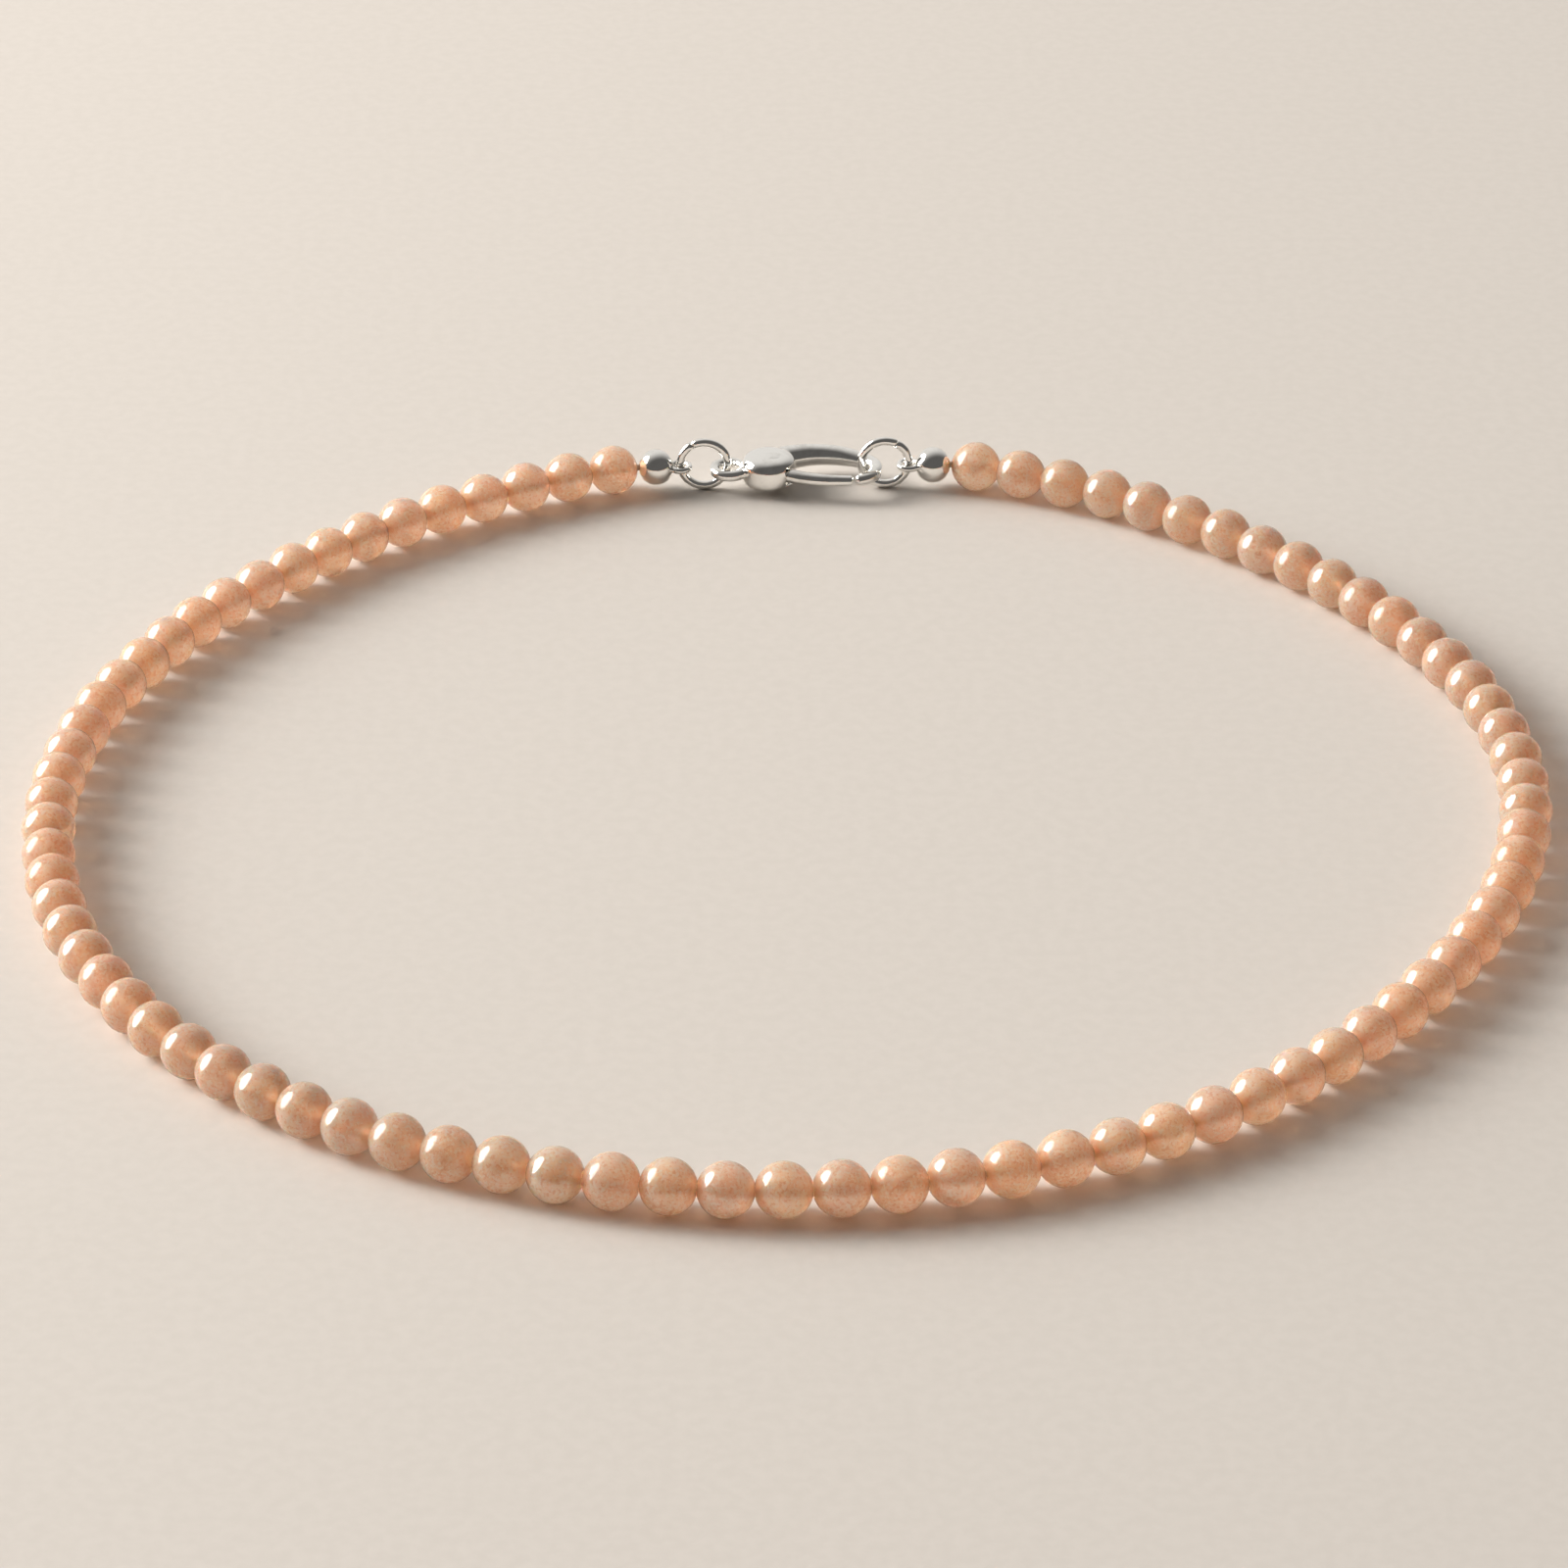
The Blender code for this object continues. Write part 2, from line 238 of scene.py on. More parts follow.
def tube(
    path: Array,
    radii: Array,
    sides: int,
    up: Array = UP,
    ring: bool = False,
    boxed: float = 2.0,
) -> Surface:
    """Section carried along a flat path: path + side ru cos a + up rv sin a, as a superellipse.

    Args:
        path: Places of the section's centre, in order.
        radii: Half widths (across, along up) at each place, or one radius for both.
        sides: Points round the section.
        up: Direction that stands on the path's plane.
        ring: Whether the path closes on itself.
        boxed: The superellipse's power; 2 is round.

    Returns:
        The closed surface.
    """
    if ring:
        ahead = np.roll(path, -1, 0) - np.roll(path, 1, 0)
    else:
        ahead = np.gradient(path, axis=0)
    side = unit(np.cross(up, unit(ahead)))
    half = np.asarray(radii, float)
    half = np.repeat(half[:, None], 2, 1) if half.ndim == 1 else half
    angle = round_angles(sides)
    across, along = (
        np.sign(wave) * np.abs(wave) ** (2 / boxed) for wave in (np.cos(angle), np.sin(angle))
    )
    grid = (
        path[:, None, :]
        + side[:, None, :] * (half[:, :1] * across)[:, :, None]
        + up * (half[:, 1:] * along)[:, :, None]
    )
    return wrapped(grid, ring)


def rounded_rod(rows: Sequence[Row], between: int, sides: int, blunt: tuple[float, float]) -> Surface:
    """Round rod bent flat along rows, each end drawn in over a quarter circle.

    Args:
        rows: Rows (x, y, radius).
        between: Steps between two rows.
        sides: Points round the rod.
        blunt: Length of the rounding at the first and at the last end.

    Returns:
        The closed surface. A rounding of length q has radius r cos a at q sin a from where it begins.
    """
    nearly_shut, clear_of_end = 88.0, 1.02
    line = eased(rows, between)
    walked = walked_to(line[:, :2])
    total = walked[-1]
    quarter = np.radians(np.linspace(nearly_shut, 0.0, 9))
    start = blunt[0] * (1 - np.sin(quarter))
    finish = total - blunt[1] * (1 - np.sin(quarter))[::-1]
    after, before = blunt[0] * clear_of_end, total - blunt[1] * clear_of_end
    middle = walked[(walked > after) & (walked < before)]
    at = np.concatenate((start, middle, finish))
    shrink = np.concatenate((np.cos(quarter), np.ones(len(middle)), np.cos(quarter)[::-1]))
    x, y, radius = at_ways(at, walked, line).T
    return tube(np.stack((x, y, 0 * x), -1), radius * shrink, sides)


def prism(outline: Array, middle: tuple[float, float], half: float) -> Surface:
    """Upright prism over an outline.

    Args:
        outline: Corners (x, y) round the prism.
        middle: Place inside from which the whole outline is seen.
        half: Half its height, to each side of the plane z = 0.

    Returns:
        The closed surface.
    """
    flat = np.column_stack((outline, np.zeros(len(outline))))
    rise = UP * half
    return wrapped(
        np.stack((flat - rise, flat + rise)),
        middles=np.array((*middle, 0.0)) + ((-1.0,), (1.0,)) * rise,
    )


def mesh_of(name: str, surface: Surface) -> bpy.types.Mesh:
    """Smooth mesh of a surface.

    Args:
        name: Name of the mesh.
        surface: The surface.

    Returns:
        The mesh, filled from whole arrays.
    """
    mesh = bpy.data.meshes.new(name)
    corners = np.concatenate((surface.quads.ravel(), surface.tris.ravel()))
    sizes = np.concatenate((np.full(len(surface.quads), 4), np.full(len(surface.tris), 3)))
    starts = np.concatenate(([0], np.cumsum(sizes)[:-1]))
    mesh.vertices.add(len(surface.points))
    mesh.vertices.foreach_set("co", surface.points.astype(np.float32).ravel())
    mesh.loops.add(len(corners))
    mesh.loops.foreach_set("vertex_index", corners.astype(np.int32))
    mesh.polygons.add(len(sizes))
    mesh.polygons.foreach_set("loop_start", starts.astype(np.int32))
    mesh.update(calc_edges=True)
    mesh.validate()
    mesh.shade_smooth()
    return mesh


def read(items: bpy.types.bpy_prop_collection, name: str, kind: type, width: int = 1) -> NDArray:
    """One property of all the items of a mesh, as a flat array of width values each.

    Args:
        items: The vertices, corners or faces.
        name: The property's name.
        kind: Type of the numbers.
        width: Numbers in one item.

    Returns:
        The numbers, one item after another.
    """
    values = np.zeros(len(items) * width, kind)
    items.foreach_get(name, values)
    return values


def shown(name: str, data: bpy.types.ID) -> bpy.types.Object:
    """Object of a mesh, lamp or camera at the origin, linked to the scene.

    Args:
        name: Name of the object.
        data: The mesh, lamp or camera.

    Returns:
        The object.
    """
    obj = bpy.data.objects.new(name, data)
    bpy.context.scene.collection.objects.link(obj)
    return obj


def fused(
    name: str,
    shells: Sequence[Surface],
    cutters: Sequence[Surface],
    grain: float,
    eases: int,
) -> Surface:
    """Shells cast as one piece, with the cutters' space taken out and every edge softened.

    The work is done in millimetres, because the voxels are finer than Blender allows in metres.

    Args:
        name: Name for the passing objects.
        shells: Closed surfaces that overlap.
        cutters: Closed surfaces to take away.
        grain: Size of the voxels.
        eases: Rounds of smoothing.

    Returns:
        One closed surface.
    """
    def passing(label: str, surface: Surface) -> bpy.types.Object:
        """Passing object in millimetres."""
        passed = f"{name}_{label}"
        return shown(passed, mesh_of(passed, surface.over(surface.points / MM)))

    base = passing("base", shells[0])
    helpers = []
    for label, surfaces, operation in (("add", shells[1:], "UNION"), ("cut", cutters, "DIFFERENCE")):
        for number, surface in enumerate(surfaces):
            helper = passing(f"{label}{number}", surface)
            modifier = base.modifiers.new(helper.name, "BOOLEAN")
            modifier.operation = operation
            modifier.solver = "EXACT"
            modifier.object = helper
            helpers.append(helper)
    remesh = base.modifiers.new("cast", "REMESH")
    remesh.mode = "VOXEL"
    remesh.voxel_size = grain / MM
    smooth = base.modifiers.new("softened", "SMOOTH")
    smooth.factor = 0.5
    smooth.iterations = eases
    bpy.context.view_layer.update()
    cast = base.evaluated_get(bpy.context.evaluated_depsgraph_get()).to_mesh()
    points = read(cast.vertices, "co", np.float32, 3)
    corners = read(cast.loops, "vertex_index", np.int32)
    starts = read(cast.polygons, "loop_start", np.int32)
    totals = read(cast.polygons, "loop_total", np.int32)
    quads, tris = (
        corners[starts[totals == size][:, None] + np.arange(size)].astype(np.int64) for size in (4, 3)
    )
    for obj in (base, *helpers):
        mesh = obj.data
        bpy.data.objects.remove(obj)
        bpy.data.meshes.remove(mesh)
    return Surface(points.reshape(-1, 3).astype(float) * MM, quads, tris).outward()


class Sheet:
    """Adds nodes to one node tree and joins them."""

    def __init__(self, tree: bpy.types.NodeTree) -> None:
        """Start with an empty tree."""
        self.tree = tree
        tree.nodes.clear()

    def node(self, kind: str, **settings: object) -> bpy.types.Node:
        """New node of a kind.

        Args:
            kind: Blender's name for the node.
            **settings: Properties to set on it.

        Returns:
            The node.
        """
        made = self.tree.nodes.new(kind)
        for name, value in settings.items():
            setattr(made, name, value)
        return made

    def join(self, source: Socket, target: Socket) -> None:
        """Link an output to an input."""
        self.tree.links.new(source, target)

    def noise(self, place: Socket, scale: float, detail: float, rough: float) -> Socket:
        """Noise value at a place, about 0.5 on average.

        Args:
            place: Socket with the coordinates.
            scale: Repeats in a metre.
            detail: Octaves.
            rough: Strength of the finer octaves.

        Returns:
            The value's socket.
        """
        made = self.node("ShaderNodeTexNoise")
        made.inputs["Scale"].default_value = scale
        made.inputs["Detail"].default_value = detail
        made.inputs["Roughness"].default_value = rough
        self.join(place, made.inputs["Vector"])
        return made.outputs["Fac"]

    def ramp(self, value: Socket, start: float, end: float, low: float = 0.0, high: float = 1.0) -> Socket:
        """Smooth step of a value from one range to another.

        Args:
            value: Socket with the value.
            start: Value where the result is low.
            end: Value where the result is high.
            low: Result at the start.
            high: Result at the end.

        Returns:
            The result's socket.
        """
        made = self.node("ShaderNodeMapRange", interpolation_type="SMOOTHSTEP")
        made.inputs["From Min"].default_value = start
        made.inputs["From Max"].default_value = end
        made.inputs["To Min"].default_value = low
        made.inputs["To Max"].default_value = high
        self.join(value, made.inputs["Value"])
        return made.outputs["Result"]

    def plus(self, first: Socket, second: Socket | float, operation: str = "ADD") -> Socket:
        """Sum of two values, or what another operation makes of them; the second may be a number.

        Args:
            first: Socket with the first value.
            second: Socket or number.
            operation: Blender's name for the operation.

        Returns:
            The result's socket.
        """
        made = self.node("ShaderNodeMath", operation=operation)
        self.join(first, made.inputs[0])
        if isinstance(second, float):
            made.inputs[1].default_value = second
        else:
            self.join(second, made.inputs[1])
        return made.outputs["Value"]

    def times(self, first: Socket, second: Socket | float) -> Socket:
        """Product of two values, the second a socket or a number."""
        return self.plus(first, second, "MULTIPLY")

    def blend(self, share: Socket, low: Socket | Colour, high: Socket | Colour) -> Socket:
        """Colour mixed from two by a share.

        Args:
            share: Socket with the share of the second colour.
            low: First colour, or its socket.
            high: Second colour, or its socket.

        Returns:
            The colour's socket.
        """
        made = self.node("ShaderNodeMix", data_type="RGBA")
        self.join(share, made.inputs["Factor"])
        for value, target in ((low, made.inputs[6]), (high, made.inputs[7])):
            if isinstance(value, tuple):
                target.default_value = (*value, 1.0)
            else:
                self.join(value, target)
        return made.outputs[2]


class Effect:
    """Node group shared by several finishes, with named inputs and outputs."""

    def __init__(self, name: str, inputs: dict[str, str], outputs: dict[str, str]) -> None:
        """Make the group's sockets.

        Args:
            name: Name of the group.
            inputs: Kind of socket for each input's name.
            outputs: Kind of socket for each output's name.
        """
        self.tree = bpy.data.node_groups.new(name, "ShaderNodeTree")
        self.sheet = Sheet(self.tree)
        for direction, sockets in (("INPUT", inputs), ("OUTPUT", outputs)):
            for label, kind in sockets.items():
                self.tree.interface.new_socket(label, in_out=direction, socket_type=f"NodeSocket{kind}")
        self.given = self.sheet.node("NodeGroupInput").outputs
        self.made = self.sheet.node("NodeGroupOutput").inputs

    def placed(self, sheet: Sheet, values: dict[str, object]) -> bpy.types.Node:
        """Use of this group in a material.

        Args:
            sheet: The material's tree.
            values: A number, a colour or a socket for each input's name.

        Returns:
            The group's node.
        """
        user = sheet.node("ShaderNodeGroup", node_tree=self.tree)
        for label, value in values.items():
            if isinstance(value, Socket):
                sheet.join(value, user.inputs[label])
            else:
                user.inputs[label].default_value = (*value, 1.0) if isinstance(value, tuple) else value
        return user


def stone_grain() -> Effect:
    """Cloudy polished stone: clouds, fine light and dark grains, and a painted shade at the drilled ends:
    a deeper orange where beads meet, in place of the saturated rim that light through the stone gives
    there.

    Scales are repeats in a metre, so a grain is about a quarter of a millimetre across.

    Returns:
        The node group.
    """
    cloud_scale, grain_scale, fleck_scale = 520.0, 4200.0, 3400.0
    effect = Effect(
        "stone_grain",
        {
            "Place": "Vector",
            **dict.fromkeys(("Tint", "Drill", "Gloss"), "Float"),
            **dict.fromkeys(("Pale", "Warm", "Rosy", "Deep"), "Color"),
        },
        {"Colour": "Color", "Roughness": "Float", "Coat": "Float", "Height": "Float"},
    )
    s, given, made = effect.sheet, effect.given, effect.made
    clouds = s.noise(given["Place"], cloud_scale, 2.0, 0.5)
    grains = s.noise(given["Place"], grain_scale, 2.0, 0.6)
    flecks = s.noise(given["Place"], fleck_scale, 2.0, 0.6)
    tone = s.blend(given["Tint"], given["Warm"], given["Rosy"])
    cloudy = s.blend(s.ramp(clouds, 0.40, 0.70, 0.0, 0.5), tone, given["Pale"])
    dark = s.blend(s.ramp(flecks, 0.50, 0.63, 0.0, 0.9), cloudy, given["Deep"])
    light = s.blend(s.ramp(grains, 0.49, 0.61), dark, given["Pale"])
    # Painted shade: towards each drilled end, where a bead meets the next, the colour is mixed towards the
    # deep tone, in place of the saturated rim that light through the stone gives at the necks.
    drilled = s.blend(s.ramp(given["Drill"], 0.62, 1.0, 0.0, 0.6), light, given["Deep"])
    s.join(drilled, made["Colour"])
    s.join(s.ramp(clouds, 0.35, 0.65, 0.95, 0.75), made["Roughness"])
    s.join(s.ramp(given["Gloss"], 0.0, 0.8, 0.42, 0.76), made["Coat"])
    s.join(s.plus(clouds, s.times(grains, 0.1)), made["Height"])
    return effect


def worn_polish() -> Effect:
    """Handled metal: a soft tarnish in patches, fine rubbing marks and a faint unevenness.

    Scales are repeats in a metre; the rubbing marks are drawn out along a slanted direction.

    Returns:
        The node group.
    """
    patch_scale, rub_scale, fresh_roughness = 500.0, 1500.0, 0.07
    effect = Effect(
        "worn_polish",
        {"Place": "Vector", "Bright": "Color", "Dull": "Color", "Wear": "Float"},
        {"Colour": "Color", "Roughness": "Float", "Height": "Float"},
    )
    s, given, made = effect.sheet, effect.given, effect.made
    patches = s.noise(given["Place"], patch_scale, 3.0, 0.6)
    stretch = s.node("ShaderNodeMapping")
    stretch.inputs["Rotation"].default_value = (0.3, 0.5, 0.7)
    stretch.inputs["Scale"].default_value = (1.0, 9.0, 9.0)
    s.join(given["Place"], stretch.inputs["Vector"])
    rubs = s.noise(stretch.outputs["Vector"], rub_scale, 2.0, 0.7)
    dulled = s.times(s.ramp(patches, 0.45, 0.75), given["Wear"])
    s.join(s.blend(dulled, given["Bright"], given["Dull"]), made["Colour"])
    rubbed = s.times(s.ramp(rubs, 0.5, 0.8, 0.0, 0.16), given["Wear"])
    s.join(s.plus(s.plus(rubbed, s.times(dulled, 0.12)), fresh_roughness), made["Roughness"])
    s.join(s.plus(patches, s.times(rubs, 0.3)), made["Height"])
    return effect


def fine_tooth() -> Effect:
    """Matt fibres: a close soft grain that mixes two tones.

    Returns:
        The node group.
    """
    effect = Effect(
        "fine_tooth",
        {"Place": "Vector", "Scale": "Float", "Light": "Color", "Shade": "Color"},
        {"Colour": "Color", "Height": "Float"},
    )
    s, given, made = effect.sheet, effect.given, effect.made
    grain = s.node("ShaderNodeTexNoise")
    grain.inputs["Detail"].default_value = 4.0
    s.join(given["Place"], grain.inputs["Vector"])
    s.join(given["Scale"], grain.inputs["Scale"])
    tone = s.blend(s.ramp(grain.outputs["Fac"], 0.3, 0.7), given["Shade"], given["Light"])
    s.join(tone, made["Colour"])
    s.join(grain.outputs["Fac"], made["Height"])
    return effect


@dataclass(frozen=True)
class Effects:
    """The shared node groups."""

    stone: Effect
    polish: Effect
    tooth: Effect

    @classmethod
    def built(cls) -> "Effects":
        """Build each group once."""
        return cls(stone_grain(), worn_polish(), fine_tooth())


class Finish:
    """Start of a procedural material: its tree, Principled shader, place and bump."""

    def __init__(self, name: str, bump: float, depth: float) -> None:
        """Make the material.

        Args:
            name: Its name.
            bump: Strength of the bump.
            depth: Height of the bump, in metres.
        """
        self.material = bpy.data.materials.new(name)
        self.material.use_nodes = True
        self.sheet = Sheet(self.material.node_tree)
        self.skin = self.sheet.node("ShaderNodeBsdfPrincipled")
        output = self.sheet.node("ShaderNodeOutputMaterial")
        self.sheet.join(self.skin.outputs["BSDF"], output.inputs["Surface"])
        self.place = self.sheet.node("ShaderNodeTexCoord").outputs["Object"]
        self.bump = self.sheet.node("ShaderNodeBump")
        self.bump.inputs["Strength"].default_value = bump
        self.bump.inputs["Distance"].default_value = depth
        self.sheet.join(self.bump.outputs["Normal"], self.skin.inputs["Normal"])

    def attribute(self, name: str) -> Socket:
        """Value of a piece's own attribute."""
        return self.sheet.node("ShaderNodeAttribute", attribute_name=name).outputs["Fac"]

    def set(self, **values: float | tuple[float, ...]) -> None:
        """Set sockets of the shader, their names written with underscores."""
        for name, value in values.items():
            self.skin.inputs[name.replace("_", " ")].default_value = value

    def feed(self, user: bpy.types.Node, roughness: bool = True) -> None:
        """Join a group's colour, height and, if it has one, roughness to the shader.

        Args:
            user: The group's node.
            roughness: Whether the group has a roughness.
        """
        self.sheet.join(user.outputs["Colour"], self.skin.inputs["Base Color"])
        self.sheet.join(user.outputs["Height"], self.bump.inputs["Height"])
        if roughness:
            self.sheet.join(user.outputs["Roughness"], self.skin.inputs["Roughness"])


@dataclass(frozen=True)
class StoneFinish:
    """Peach stone, milky and clear by turns inside, under a clear polish.

    Attributes:
        pale: Tone of the light clouds and grains.
        warm: Tone of the more orange beads.
        rosy: Tone of the pinker beads.
        deep: Tone of the dark grains and of the drilled ends.
        through: How far red, green and blue light goes in the milky part, in millimetres.
        clear: Share of the light that crosses the stone.
        polish: Refraction of the polished skin, which sets how bright its highlight is.
    """

    pale: Colour = (1.0, 0.86, 0.72)
    warm: Colour = (0.955, 0.67, 0.42)
    rosy: Colour = (0.95, 0.63, 0.445)
    # deep: Tone of the dark grains, and of the painted shade at the drilled ends where beads meet.
    deep: Colour = (0.81, 0.45, 0.24)
    through: tuple[float, float, float] = (3.0, 1.5, 0.8)
    clear: float = 0.78
    polish: float = 2.2

    def material(self, effects: Effects) -> bpy.types.Material:
        """The stone's material, its tint and its painted shade at the drilled ends read from the beads'
        attributes.

        Args:
            effects: The shared node groups.

        Returns:
            The material.
        """
        made = Finish("peach_stone_polished", bump=0.03, depth=0.02 * MM)
        grain = effects.stone.placed(
            made.sheet,
            {
                "Place": made.place,
                **{name.title(): made.attribute(name) for name in ("tint", "drill", "gloss")},
                **{name.title(): getattr(self, name) for name in ("pale", "warm", "rosy", "deep")},
            },
        )
        made.feed(grain)
        made.sheet.join(grain.outputs["Coat"], made.skin.inputs["Coat Weight"])
        made.set(
            IOR=1.54,
            Subsurface_Weight=1.0,
            Subsurface_Radius=self.through,
            Subsurface_Scale=MM,
            Transmission_Weight=self.clear,
            Coat_IOR=self.polish,
            Coat_Roughness=0.03,
        )
        return made.material


@dataclass(frozen=True)
class SilverFinish:
    """Polished silver with the wear of handling."""

    name: str
    wear: float = 0.5
    bright: Colour = (0.96, 0.95, 0.92)
    dull: Colour = (0.72, 0.70, 0.66)

    def material(self, effects: Effects) -> bpy.types.Material:
        """The metal's material.

        Args:
            effects: The shared node groups.

        Returns:
            The material.
        """
        made = Finish(self.name, bump=0.05, depth=0.02 * MM)
        made.feed(
            effects.polish.placed(
                made.sheet,
                {"Place": made.place, "Bright": self.bright, "Dull": self.dull, "Wear": self.wear},
            )
        )
        made.set(Metallic=1.0)
        return made.material


@dataclass(frozen=True)
class FibreFinish:
    """Matt fibres, as on the thread and the cloth-like floor."""

    name: str
    light: Colour
    shade: Colour
    scale: float
    depth: float

    def material(self, effects: Effects) -> bpy.types.Material:
        """The fibres' material.

        Args:
            effects: The shared node groups.

        Returns:
            The material.
        """
        made = Finish(self.name, bump=0.3, depth=self.depth)
        made.feed(
            effects.tooth.placed(
                made.sheet,
                {"Place": made.place, "Scale": self.scale, "Light": self.light, "Shade": self.shade},
            ),
            roughness=False,
        )
        made.set(Roughness=0.9, Specular_IOR_Level=0.2)
        return made.material


@dataclass(frozen=True)
class Piece:
    """A finished piece and what the frame has to know about it."""

    name: str
    surface: Surface
    body: Body
    slot: Slot
    stands_for: str
    finish: bpy.types.Material

    def shown(self) -> bpy.types.Object:
        """Put the piece in the scene, on its body and in place of its CAD node.

        Returns:
            The object.
        """
        obj = shown(self.name, mesh_of(self.name, self.surface))
        obj.data.materials.append(self.finish)
        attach(obj, self.body.value)
        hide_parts(self.stands_for)
        triangles = 2 * len(self.surface.quads) + len(self.surface.tris)
        LOG.info("%s: %d triangles on %s", self.name, triangles, self.body.value)
        return obj


@dataclass(frozen=True)
class Fit:
    """Values that the fastening's pieces share, from which each one's place follows.

    Attributes:
        gap: Between pieces that bear on each other.
        bead_height: Middle of the beads, the thread and the covers above the floor.
        loop_reach: From the middle of a cover's ball to the middle of its loop.
        claw_height: Middle plane of the claw above the floor.
        apex: From the claw's tail hole to the furthest part of its hook.
    """

    gap: float = 0.15 * MM
    bead_height: float = 2.2 * MM
    cover_radius: float = 1.6 * MM
    loop_reach: float = 2.15 * MM
    loop_radius: float = 0.85 * MM
    loop_wire: float = 0.28 * MM
    ring_radius: float = 2.1 * MM
    ring_wire: float = 0.38 * MM
    claw_height: float = 1.9 * MM
    tail_radius: float = 1.35 * MM
    tail_wire: float = 0.5 * MM
    apex: float = 13.1 * MM
    apex_wire: float = 0.62 * MM

    @property
    def ring_height(self) -> float:
        """Height of a standing ring's middle."""
        return self.ring_radius + self.ring_wire

    def bearing(self, wire: float, height: float) -> float:
        """From a wire at this height to the middle of the ring that bears on it."""
        inside = self.ring_radius - self.ring_wire - self.gap - wire
        return sqrt(inside**2 - (self.ring_height - height) ** 2)

    @property
    def cover_x(self) -> float:
        """Middle of the left cover's ball."""
        return self.gap + self.cover_radius

    @property
    def ring_x(self) -> float:
        """Middle of the left ring."""
        loop = self.cover_x + self.loop_reach + self.loop_radius
        return loop + self.bearing(self.loop_wire, self.bead_height)

    @property
    def tail_x(self) -> float:
        """Middle of the claw's tail hole."""
        return self.ring_x + self.bearing(self.tail_wire, self.claw_height) + self.tail_radius

    @property
    def far_ring_x(self) -> float:
        """Middle of the right ring."""
        return self.tail_x + self.apex + self.bearing(self.apex_wire, self.claw_height)

    @property
    def length(self) -> float:
        """From the first bead's end to the last bead's."""
        return self.far_ring_x + self.ring_x


@dataclass
class Loop:
    """The line that the beads lie on, as the CAD has it: a mean radius and a few waves round it."""

    fit: Fit
    radius: float = 59.38 * MM
    waves: tuple[tuple[int, float, float], ...] = (
        (1, 0.06 * MM, 0.32 * MM),
        (2, -0.72 * MM, 0.96 * MM),
        (3, 0.11 * MM, -0.51 * MM),
        (4, 0.46 * MM, 0.05 * MM),
        (5, 0.18 * MM, 0.17 * MM),
    )
    start: float = radians(104.6)
    steps: int = 4000
    beads: int = 82
    pitch: float = 4.22 * MM
    drift: float = 0.058 * MM
    scales: tuple[float, float] = (0.9, 1.1)
    halvings: int = 40

    def lengths(self, at: Array) -> Array:
        """Length along the thread of a bead: the pitch less one sine wave from first to last.

        Args:
            at: The bead's number, or a half number between two beads.

        Returns:
            The lengths.
        """
        return self.pitch - self.drift * np.sin(2 * pi * at / (self.beads - 1))

    def __post_init__(self) -> None:
        """Close the loop on the fastening."""
        small, large = self.scales
        for _ in range(self.halvings):
            scale = (small + large) / 2
            self.lay(scale)
            if np.linalg.norm(self.right - self.left) < self.fit.length:
                small = scale
            else:
                large = scale

    def lay(self, scale: float) -> None:
        """Touching beads along the line r = mean + sum of a cos nb + b sin nb, times a scale.

        Args:
            scale: Size of the loop.
        """
        bearing = self.start + round_angles(self.steps)
        waves = (a * np.cos(n * bearing) + b * np.sin(n * bearing) for n, a, b in self.waves)
        radius = (self.radius + sum(waves)) * scale
        line = np.stack((np.cos(bearing), np.sin(bearing), 0 * bearing), -1) * radius[:, None]
        steps = self.lengths(np.arange(self.beads - 1) + 0.5)
        at = np.concatenate(([0.0], np.cumsum(steps)))
        self.centres = at_ways(at, walked_to(line), line)
        across = unit(self.centres[-1] - self.centres[0])
        first = unit(unit(self.centres[1] - self.centres[0]) - across)
        final = unit(unit(self.centres[-1] - self.centres[-2]) - across)
        inner = unit(self.centres[2:] - self.centres[:-2])
        self.axes = np.vstack((first, inner, final))
        self.left = self.centres[0] - first * self.pitch / 2
        self.right = self.centres[-1] + final * self.pitch / 2

    def shift(self, by: Array) -> None:
        """Move the whole loop.

        Args:
            by: The way to move it.
        """
        self.centres = self.centres + by
        self.left = self.left + by
        self.right = self.right + by


@dataclass
class Fastening:
    """Straight frame from the left bead's end to the right one's, in which the clasp lies."""

    fit: Fit
    origin: Array
    along: Array

    def placed(self, surface: Surface, x: float, height: float, way: float = 1.0) -> Surface:
        """Surface moved from its own frame to the row frame.

        Args:
            surface: The surface, its X along the fastening.
            x: Place along the fastening.
            height: Height above the floor.
            way: -1 to turn it half round about the vertical.

        Returns:
            The moved surface.
        """
        side = np.cross(UP, self.along)
        turn = np.stack((self.along * way, side * way, UP))
        return surface.over(surface.points @ turn + self.origin + self.along * x + UP * height)


